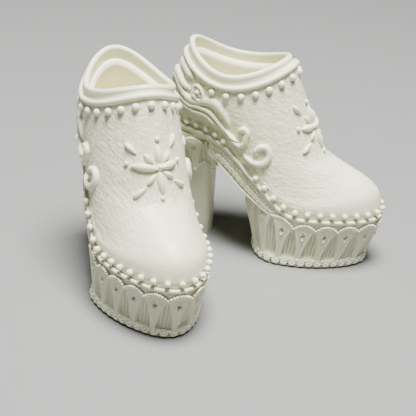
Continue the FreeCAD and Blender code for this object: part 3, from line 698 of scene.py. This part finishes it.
def welt_ledge():
    """The welt's ledge: a soft upper edge, a groove below it, and a cove down to the lace."""
    t, _ = even_turn(upper_point, 0.0, 480)
    profile = [(-1.6, -0.1), (-0.2, -0.08), (0.45, -0.06), (0.75, -0.12), (0.86, -0.26), (0.78, -0.42),
               (0.5, -0.48), (0.36, -0.6), (0.36, -0.8), (0.4, -1.16), (-1.6, -1.18)]
    return wrapped(np.stack([welt_place(t, out, rise) for out, rise in profile]))


def welt_cord():
    """The piping on the welt's edge: flattened ovals strung on a thin cord."""
    t = spread(upper_point, 0.0, PIPING_PITCH)
    seats = welt_place(t, PIPING_OUT, 0.05)
    along = unit(welt_place(t + STEP, PIPING_OUT, 0.05) - seats)
    out = unit(np.cross(along, UP))
    ovals = scattered(ball_template(9), seats, along, np.cross(out, along), out, (1.38, 0.43, 0.5))
    fine, _ = even_turn(upper_point, 0.0, 360)
    return joined([ovals, cord(welt_place(fine, PIPING_OUT, 0.03), 0.38)])


def welt_beads():
    """The pearl row just above the piping, broken below the scrolls."""
    t = spread(upper_point, 0.0, WELT_BEAD_PITCH)
    t = t[(from_toe(t) <= HOOKS_FROM) | (from_toe(t) >= HOOKS_TO)]
    lift = WELT_BEAD_LIFT + arch_lift(upper_point(t, 0.0)[:, 0])
    return pearls(*walk(t, 0.0, 0.0, lift), 0.5, WELT_BEAD_R)


# ---- lace walls

def scallop_edge(u, tall, pitch):
    """Height of a scallop's top edge at u from its middle, on a wall so tall."""
    return tall - SCALLOP_DROP - CUSP_DROP * (2 * np.abs(u) / pitch) ** 2


def fan_relief(u, v, tall, pitch=PANEL_PITCH):
    """How far the lace stands out at u from a panel's middle and v up a wall so tall."""
    across = np.abs(u)
    half = pitch / 2
    cusp = tall - SCALLOP_DROP - CUSP_DROP
    opened = np.clip(v / cusp, 0.0, 1.15) ** 2.1
    fan = FOOT_HALF + (half - FOOT_HALF) * opened
    edge = scallop_edge(u, tall, pitch)
    inside = np.minimum(fan - across, edge - v)
    panel = PANEL_STAND * smooth(0.55 + inside / 0.6)
    rim = 0.14 * hump(inside, 0.36, 0.18)
    net = 0.08 * np.sin(2 * pi * u / 0.62) * np.sin(2 * pi * v / 0.62)
    net = net * smooth((inside - 0.5) / 0.3)
    q = (v - (tall - SCALLOP_DROP - HOLE_DOWN)) / HOLE_HALF
    wide = HOLE_WIDE * np.sqrt(np.clip(1 - q * q, 0.0, 1.0)) * (1 - 0.5 * np.clip(q, -1, 1))
    hole = smooth(0.5 + (wide - across) / 0.16) * (np.abs(q) < 1.05)
    lip = 0.1 * hump(across - wide, 0.2, 0.13) * (np.abs(q) < 1.2)
    flutes = 0.5 * np.abs(np.cos(pi * (half - across) / FLUTE)) ** 0.8
    flutes = flutes * (inside < 0.2) * (v < cusp + 0.3)
    base = (PANEL_STAND - 0.25) * smooth((2.3 - v) / 1.3)
    cove = (PANEL_STAND - 0.55) * smooth((v - edge) / 0.25)
    standing = np.maximum(panel + rim + net + lip, np.maximum(np.maximum(flutes, base), cove))
    return standing - 0.55 * hole


def lace_painted_shade(standing, back):
    """Painted shade on the lace, from how sunk it is: on its front, then full on its hidden back."""
    front = 0.6 * np.clip(1 - standing / PANEL_STAND, 0.0, 1.0) ** 1.5
    return np.concatenate([front, np.ones(back.shape[:2])])


def lace_table(skin, s, count, columns):
    """Angles round a skin, how far each is from a panel's middle, and the panels' pitch."""
    angles, length = even_turn(skin, s, count * columns)
    pitch = length / count
    run = np.arange(len(angles)) / columns * pitch
    return angles, (run + pitch / 2) % pitch - pitch / 2, pitch


def platform_table():
    """The lace table of the platform, measured a little below its top."""
    line = 0.8
    return lace_table(block_point, line, len(spread(block_point, line, PANEL_PITCH)), PANEL_COLUMNS)


def wall_tall(x):
    """Height of the platform's wall from the outsole to the welt at x."""
    return bed_height(x) - WELT_THICK - OUTSOLE_THICK


def platform_wall():
    """The platform's side: fan panels and fluted recesses, a shell with nothing inside, with painted shade
    in its recesses and on its back.
    """
    angles, u, pitch = platform_table()
    x = block_point(angles, 1.0)[:, 0]
    tall = wall_tall(x)
    bridged = smooth((STRIP_FRONT - x) / 2.0)
    top = (1 - bridged) * tall + bridged * (shank_line(x) - OUTSOLE_THICK + 0.4)
    f = np.linspace(0.0, 1.0, 130)[:, None]
    v = f * (top + 0.5 * (1 - bridged))[None]
    t = np.broadcast_to(angles, v.shape)
    standing = fan_relief(u[None], v, tall[None], pitch)
    outer = off_wall(t, v, standing - WALL_INSET)
    inner = off_wall(t[::-12], v[::-12], -2.2)
    return wrapped(np.concatenate([outer, inner]), lace_painted_shade(standing, inner))


def off_wall(t, v, out):
    """Points at a height v up the platform's wall, moved level outward."""
    return block_point(t, v / SPAN) + level_outward(block_point, t, v / SPAN) * np.asarray(out)[..., None]


def platform_edge_beads():
    """Tiny beads along each scallop of the platform, and one under each hole."""
    angles, _, pitch = platform_table()
    starts = np.arange(0, len(angles), PANEL_COLUMNS)
    offsets = np.arange(-pitch / 2, pitch / 2 - 1e-6, EDGE_BEAD_PITCH * 0.92)
    columns = (starts[:, None] + offsets / pitch * PANEL_COLUMNS) % len(angles)
    t = np.interp(columns, np.arange(len(angles) + 1), np.append(angles, 2 * pi))
    x = block_point(t, 1.0)[..., 0]
    v = scallop_edge(offsets, wall_tall(x), pitch)
    in_front = x > STRIP_FRONT - 1.0
    edge = beads(off_wall(t[in_front], v[in_front], PANEL_STAND - WALL_INSET), EDGE_BEAD_R)
    middle = angles[starts]
    below = wall_tall(block_point(middle, 1.0)[:, 0]) - SCALLOP_DROP - HOLE_DOWN - HOLE_HALF - 0.5
    return joined([edge, beads(off_wall(middle, below, PANEL_STAND - WALL_INSET), 0.34, 8)])


def hem_lace():
    """The lace along the platform's bottom edge: open shells on a frill, with a knot between."""
    t = spread(block_point, 0.0, HEM_PITCH)
    _, normal, across, upward = frames(block_point, t, 0.02)
    tipped = unit(normal + 0.45 * upward)
    upright = unit(upward - 0.45 * normal)
    seats = off_wall(t, HEM_UP, 0.46)
    loops = scattered(ring_template(0.46, 0.19), seats, across, upright, tipped, (1.5, 1.3, 1.35))
    cores = scattered(ball_template(6), seats, across, upright, tipped, (0.4, 0.34, 0.4))
    between, _ = even_turn(block_point, 0.0, len(t), 0.5)
    knots = beads(off_wall(between, 0.85, 0.42), 0.34, 7)
    per_shell = 12
    fine, _ = even_turn(block_point, 0.0, len(t) * per_shell)
    wave = np.cos(np.arange(len(fine)) * 2 * pi / per_shell)
    frill = off_wall(fine, 0.06 * wave - HEM_UP, 0.42 + 0.16 * wave)
    return joined([loops, cores, knots, cord(frill, 0.26, 8)])


# ---- bridge

def strip_table(side, fine=240):
    """The lace strip on one side of the bridge: its x, plan points, run and outward directions."""
    x = np.linspace(STRIP_FRONT, BREAST_X - 0.6, fine)
    t_fine = np.linspace(pi / 2 - 0.2, pi, 2000)
    t = side * np.interp(-x, -upper_point(t_fine, 0.0)[:, 0], t_fine)
    run = distance_along(np.stack([x, bed_height(x)], -1))
    return x, upper_point(t, 0.0), run, level_outward(upper_point, t, 0.0)


def strip_band(x, plan, run, outward):
    """The strip's bumpy band: a raised lower edge, a groove above it, sunk away at the heel."""
    tall = wall_tall(x) + arch_lift(x)
    low = shank_line(x) - OUTSOLE_THICK + 0.05
    fading = smooth((BREAST_X + 3.6 - x) / 4.5)
    low = low + (tall - low) * 0.96 * fading
    f = np.linspace(0.0, 1.0, 50)[:, None]
    v = low[None] + f * (tall - low)[None]
    bumps = np.sin(2 * pi * run / SHELL_PITCH)[None] * np.sin(2 * pi * v / 1.1)
    standing = 0.55 + 0.45 * hump(f, 0.05, 0.07) - 0.25 * hump(f, 0.2, 0.07)
    standing = standing + 0.06 * bumps * smooth((f - 0.25) / 0.1)
    outer = np.stack([*np.broadcast_arrays(plan[:, 0], plan[:, 1], v + OUTSOLE_THICK)], -1)
    inner = outer[::-7] - outward[None] * (0.5 + 0.35 * fading)[:, None]
    outer = outer + outward[None] * ((standing - 0.25) * (1 - fading) - 0.3 * fading)[..., None]
    # Painted shade: darker in the groove and on the band's back, and half dark at the middles of its closed
    # ends.
    painted_shade = lace_painted_shade(standing, inner)
    band = lattice(np.concatenate([outer, inner]), around=False, over=True, painted_shade=painted_shade)
    first = np.arange(len(outer) + len(inner)) * len(x)
    return with_ends(band, first, first + len(x) - 1, 0.5).outward()


def strip_trim(x, plan, run, outward):
    """The strip's tiny beads under the welt, and the row of open shells along its middle."""
    def seats(goals, height):
        x_there = np.interp(goals, run, x)
        level = [np.interp(goals, run, column) for column in plan.T[:2]]
        return (np.stack([*level, height(x_there)], -1),
                np.stack([np.interp(goals, run, column) for column in outward.T], -1))

    bead_run = np.arange(0.2, np.interp(-BREAST_X - 1.2, -x, run), EDGE_BEAD_PITCH * 1.3)
    seat, out = seats(bead_run, lambda x: wall_tall(x) + arch_lift(x) - 0.3 + OUTSOLE_THICK)
    edge = beads(seat + out * 0.4, EDGE_BEAD_R)
    shell_run = np.arange(0.6, np.interp(-BREAST_X - 2.2, -x, run), SHELL_PITCH)
    seat, side_out = seats(shell_run, lambda x: 0.45 * shank_line(x) + 0.55 * (bed_height(x) - WELT_THICK))
    along = unit(np.stack([np.interp(shell_run, run, np.gradient(column, run))
                           for column in (plan[:, 0], plan[:, 1], shank_line(x))], -1))
    rise = unit(np.cross(along, side_out))
    out = np.cross(along, rise)
    out = out * np.sign(np.sum(out * side_out, -1))[:, None]
    seat = seat + side_out * 0.45
    return [edge, scattered(ring_template(0.4, 0.17), seat, along, rise, out, (1.35, 1.1, 1.3)),
            scattered(ball_template(5), seat, along, rise, out, (0.3, 0.24, 0.3))]


def shank_strips():
    """The lace that runs up both sides of the bridge."""
    shapes = []
    for side in (-1, 1):
        table = strip_table(side)
        shapes += [strip_band(*table), *strip_trim(*table)]
    return joined(shapes)


# ---- heel

def apron_table():
    """The lace table of the heel's skirt, measured a little below its top."""
    def heel_line(a, s):
        return heel_point(a, HEEL_TOP - 2.0)

    return lace_table(heel_line, 0.0, APRON_POINTS, APRON_COLUMNS)


def apron_hem(u, pitch):
    """Height of the skirt's pointed hem at u from a point's middle."""
    return APRON_LOW + 2.0 * (2 * np.abs(u) / pitch) ** 0.8


def apron_top(angles):
    """Height of the skirt's top, which stops under the foot bed."""
    x = heel_point(angles, HEEL_TOP)[:, 0]
    return np.minimum(bed_height(x) - WELT_THICK - 0.02, HEEL_TOP + 0.1)


def heel_apron():
    """The lace skirt round the top of the heel: fan panels, flutes and a pointed hem."""
    angles, u, pitch = apron_table()
    hem = apron_hem(u, pitch)
    top = apron_top(angles)
    f = np.linspace(0.0, 1.0, 110)[:, None]
    z = hem[None] + f * (top - hem)[None]
    v = z - APRON_LOW
    tall = (top - APRON_LOW)[None] - APRON_EDGE + 0 * v
    standing = fan_relief(u[None], v, tall, pitch)
    grow = 0.1 + 0.1 * (1 - f) + 0.7 * standing - 0.7 * smooth((f - 0.7) / 0.3)
    outer = heel_point(angles, z, grow)
    shelf = [heel_point(angles, top, -reach) for reach in (0.3, 1.0, 2.0, 3.2)]
    back = np.concatenate([shelf, heel_point(angles, z[-12::-10], -0.1)])
    # Painted shade, darker in the recesses and on the skirt's back.
    return wrapped(np.concatenate([outer, back]), lace_painted_shade(standing, back))


def apron_beads():
    """Tiny beads along the skirt's pointed hem and round its scallops, larger at the points."""
    angles, u, pitch = apron_table()
    a, u = angles[::4], u[::4]
    hem = heel_point(a, apron_hem(u, pitch), 0.8)
    crown = heel_point(a, scallop_edge(u, apron_top(a) - APRON_EDGE, pitch), 1.0)
    tips = heel_point(angles[::APRON_COLUMNS], apron_hem(0.0, pitch) - 0.15, 0.75)
    return joined([beads(hem, 0.26), beads(crown, 0.26), beads(tips, 0.5, 8)])


# ---- applied ornament

def star_place(heading, reach):
    """Where the star's arm is, at a heading from straight up and a reach from the hub."""
    return walk(HUB_T, HUB_AT, reach * sin(heading), reach * cos(heading))


def knob(t, s, lift, radius, tall, fine):
    """A low round knob on the upper, its middle so far off the skin."""
    point, normal, across, upward = frames(upper_point, np.array([t]), np.array([s]))
    sizes = (radius, radius, tall)
    return scattered(ball_template(fine), point + normal * lift, upward, across, normal, sizes)


def petal(t, s, heading, long, wide, tall, blunt=0.0, swell=0.0):
    """A plump petal on the vamp: blunt rounds its points and swell fills its outer end."""
    point, normal, across, upward = frames(upper_point, t, s)
    along = upward * cos(heading) + across * sin(heading)
    template = ball_template(12)
    run = template.points[:, 0]
    pinch = (1 - (1 - blunt) * 0.45 * run ** 2) * (1 + swell * run)
    template.points[:, 1:] *= pinch[:, None]
    seat, side = point + normal * 0.08, np.cross(normal, along)
    return scattered(template, seat, along, side, normal, (long, wide, tall))


def star_hub():
    """The small knob at the centre of the star, with a button on it."""
    return joined([knob(HUB_T, HUB_AT, 0.15, HUB_R, 0.95, 14), knob(HUB_T, HUB_AT, 0.98, 0.36, 0.22, 10)])


def star_petals():
    """Four long pointed petals, up, down and to each side, longest on the outer side."""
    shapes = []
    for heading, tip, _ in STAR_ARMS:
        middle = (0.45 * HUB_R + tip) / 2
        shapes.append(petal(*star_place(heading, middle), heading, tip - middle + 0.18, 0.8, 0.9))
    return joined(shapes)


def star_dashes():
    """A short petal and an outer drop on each diagonal."""
    shapes = []
    for places, extra, form in ((STAR_DASHES, 0.15, (0.56, 0.66, 0.1, 0.12)),
                                (STAR_DROPS, 0.3, (0.5, 0.62, 0.6, 0.42))):
        for sideways, up, long in places:
            t, s = walk(HUB_T, HUB_AT, sideways, up)
            shapes.append(petal(t, s, atan2(sideways, up), long + extra, *form))
    return joined(shapes)


def star_beads():
    """A bead beyond the tip of each long petal."""
    t, s = np.transpose([star_place(heading, reach) for heading, _, reach in STAR_ARMS])
    return beads(off_upper(t, s, 0.15), 0.5, 10)


def both_sides(paths, height):
    """Plump ribbons along paths, on the outer side of the boot and again on the inner."""
    return joined([ribbon([(side * t, s) for t, s in path], widths, height)
                   for path, widths in paths for side in (-1, 1)])


def scroll_bands():
    """Ribbons from the back of the collar, one ending in a hook, and a curl round the rosette."""
    turns = np.radians(np.linspace(195.0, 590.0, 16))
    closing = np.linspace(1.0, 0.72, 16)
    curl = [(ROSETTE_T - 0.125 * r * cos(a), ROSETTE_AT + 0.056 * r * sin(a))
            for a, r in zip(turns, closing)]
    return both_sides(SCROLL_BANDS + [(curl, [0.45] * 14 + [0.38, 0.25])], 1.0)


def scroll_curls():
    """The hooked curl below the ribbons, near the welt."""
    return both_sides(SCROLL_CURLS, 1.05)


def rosette():
    """The knot of beads under the collar at each back quarter."""
    shapes = []
    around = np.arange(6) * pi / 3
    for t in (-ROSETTE_T, ROSETTE_T):
        places = walk(t, ROSETTE_AT, 0.85 * np.sin(around), 0.85 * np.cos(around))
        shapes.append(knob(t, ROSETTE_AT, 0.2, 0.62, 1.0, 12))
        shapes.append(beads(off_upper(*places, 0.35), 0.36, 8))
    return joined(shapes)


# ---- assembly

# Each piece: how it is made, its finish, and the CAD nodes it stands for.
PIECES = {
    "upper": (upper_shell, "upper_ivory", ["upper_shell"]),
    "inner_lining": (lining, "lining_cream", ["lining"]),
    "lip": (collar_lip, "smooth_ivory", ["collar_lip"]),
    "roll": (collar_roll, "smooth_ivory", ["collar_roll"]),
    "collar_pearls": (collar_beads, "pearl_ivory", ["collar_beads"]),
    "welt_step": (welt_ledge, "sole_ivory", ["welt_plate"]),
    "welt_piping": (welt_cord, "lace_ivory", ["welt_cord"]),
    "welt_pearls": (welt_beads, "pearl_ivory", ["welt_beads"]),
    "platform_lace_wall": (platform_wall, "lace_ivory", ["platform_block", "arcade_panels", "arcade_ribs"]),
    "platform_bead_edge": (platform_edge_beads, "lace_ivory", ["panel_beads"]),
    "platform_hem": (hem_lace, "lace_ivory", ["hem_lace"]),
    "bridge_lace": (shank_strips, "lace_ivory", ["shank_lace"]),
    "heel_skirt": (heel_apron, "lace_ivory", ["heel_apron"]),
    "heel_skirt_beads": (apron_beads, "pearl_ivory", ["apron_beads"]),
    "star_centre": (star_hub, "pearl_ivory", ["star_hub"]),
    "star_long_petals": (star_petals, "lace_ivory", ["star_petals"]),
    "star_short_petals": (star_dashes, "lace_ivory", ["star_dashes"]),
    "star_tips": (star_beads, "pearl_ivory", ["star_beads"]),
    "scroll_ribbons": (scroll_bands, "lace_ivory", ["scroll_bands"]),
    "scroll_hooks": (scroll_curls, "lace_ivory", ["scroll_curls"]),
    "rosette_knots": (rosette, "pearl_ivory", ["rosette"]),
}

# CAD nodes whose own shape is shown, with a finish of this script.
KEPT_NODES = {
    "insole_board": "board_ivory",
    "sock_lining": "lining_cream",
    "outsole": "tread_ivory",
    "shank": "sole_ivory",
    "heel_block": "sole_ivory",
    "heel_lift": "tread_ivory",
}


def pair_shift():
    """How far the pair was moved, in millimetres, so that its middle stands on the origin."""
    low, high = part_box("right_heel_lift")
    heading, place = STANCES["right"]
    middle_x = (HEEL_SECTIONS[0][1] + HEEL_SECTIONS[0][2]) / 2
    turn = radians(heading)
    heel = (middle_x * cos(turn), middle_x * sin(turn))
    return [1000 * (low[k] + high[k]) / 2 - place[k] - heel[k] for k in (0, 1)]


SHIFT = pair_shift()


def set_down(points, side):
    """Points of a boot, in metres, where that boot stands."""
    heading, place = STANCES[side]
    turn = radians(heading)
    x, y, z = points[:, 0], points[:, 1] * (-1 if side == "left" else 1), points[:, 2]
    return np.stack([x * cos(turn) - y * sin(turn) + place[0] + SHIFT[0],
                     x * sin(turn) + y * cos(turn) + place[1] + SHIFT[1], z], -1) / 1000


def new_object(name, data):
    """An object with its data, linked into the scene."""
    thing = bpy.data.objects.new(name, data)
    bpy.context.scene.collection.objects.link(thing)
    return thing


def add_piece(side, name, shape, finish, nodes):
    """Adds a shape as a piece that rides on its boot."""
    mesh = bpy.data.meshes.new(f"{side}_{name}")
    points = set_down(shape.points, side)
    quads, tris = shape.quads, shape.tris
    if side == "left":
        quads, tris = quads[:, ::-1], tris[:, ::-1]
    mesh.vertices.add(len(points))
    mesh.vertices.foreach_set("co", points.ravel())
    mesh.loops.add(quads.size + tris.size)
    mesh.loops.foreach_set("vertex_index", np.concatenate([quads.ravel(), tris.ravel()]))
    mesh.polygons.add(len(quads) + len(tris))
    starts = np.concatenate([np.arange(len(quads)) * 4, quads.size + np.arange(len(tris)) * 3])
    mesh.polygons.foreach_set("loop_start", starts)
    mesh.update(calc_edges=True)
    mesh.polygons.foreach_set("use_smooth", np.ones(len(mesh.polygons), bool))
    # Each point's painted shade goes on the mesh as an attribute for the finish to read.
    painted_shade = mesh.attributes.new("painted_shade", "FLOAT", "POINT")
    painted_shade.data.foreach_set("value", shape.painted_shade)
    mesh.materials.append(FINISHES[finish])
    piece = new_object(f"{side}_{name}", mesh)
    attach(piece, f"{side}_boot")
    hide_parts(*[f"{side}_{node}" for node in nodes])


def finish_kept_nodes(side):
    """Gives the CAD nodes that stay in view their finish."""
    for node, finish in KEPT_NODES.items():
        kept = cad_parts[f"{side}_{node}"]
        for slot in kept.material_slots:
            slot.link = "OBJECT"
            slot.material = FINISHES[finish]


def add_floor():
    """A plain pale floor."""
    mesh = bpy.data.meshes.new("floor")
    reach = 3.0
    corners = [(-reach, -reach, 0), (reach, -reach, 0), (reach, reach, 0), (-reach, reach, 0)]
    mesh.from_pydata(corners, [], [(0, 1, 2, 3)])
    material = bpy.data.materials.new("pale_floor")
    material.use_nodes = True
    shader = material.node_tree.nodes["Principled BSDF"]
    shader.inputs["Base Color"].default_value = (0.205, 0.21, 0.212, 1.0)
    shader.inputs["Roughness"].default_value = 0.9
    mesh.materials.append(material)
    new_object("floor", mesh)


def add_light(name, place, size, power, colour):
    """A soft square light that looks at the boots."""
    lamp = bpy.data.lights.new(name, "AREA")
    lamp.size = size
    lamp.energy = power
    lamp.color = colour
    light = new_object(name, lamp)
    light.location = place
    light.rotation_euler = (Vector((0.0, 0.0, 0.02)) - Vector(place)).to_track_quat("-Z", "Y").to_euler()


def add_lights():
    """A soft light nearly overhead, a faint fill from the front left, and a dim grey room."""
    add_light("overhead", (0.02, -0.07, 0.53), 0.24, 13.5, (1.0, 0.99, 0.955))
    add_light("front_fill", (-0.35, -0.5, 0.3), 0.4, 0.1, (0.97, 0.98, 1.0))
    world = bpy.data.worlds.new("room")
    world.use_nodes = True
    background = world.node_tree.nodes["Background"]
    background.inputs["Color"].default_value = (0.86, 0.88, 0.9, 1.0)
    background.inputs["Strength"].default_value = 0.02
    bpy.context.scene.world = world


def add_camera():
    """A camera in front of the boots that looks down at them, rolled a little."""
    tilt, distance, roll = radians(25.41), 0.2918, radians(4.91)
    data = bpy.data.cameras.new("camera")
    data.lens = 106.05
    data.sensor_width = 36.0
    data.clip_start = 0.01
    camera = new_object("camera", data)
    target = Vector((*SHIFT, 0.0)) / 1000
    place = target + Vector((0.0, -cos(tilt) * distance, sin(tilt) * distance))
    look = (target - place).to_track_quat("-Z", "Y").to_matrix()
    camera.matrix_world = Matrix.Translation(place) @ look.to_4x4() @ Matrix.Rotation(roll, 4, "Z")
    bpy.context.scene.camera = camera


for piece_name, (make, piece_finish, stands_for) in PIECES.items():
    made = make()
    for boot in ("right", "left"):
        add_piece(boot, piece_name, made, piece_finish, stands_for)
for boot in ("right", "left"):
    finish_kept_nodes(boot)
add_floor()
add_lights()
add_camera()
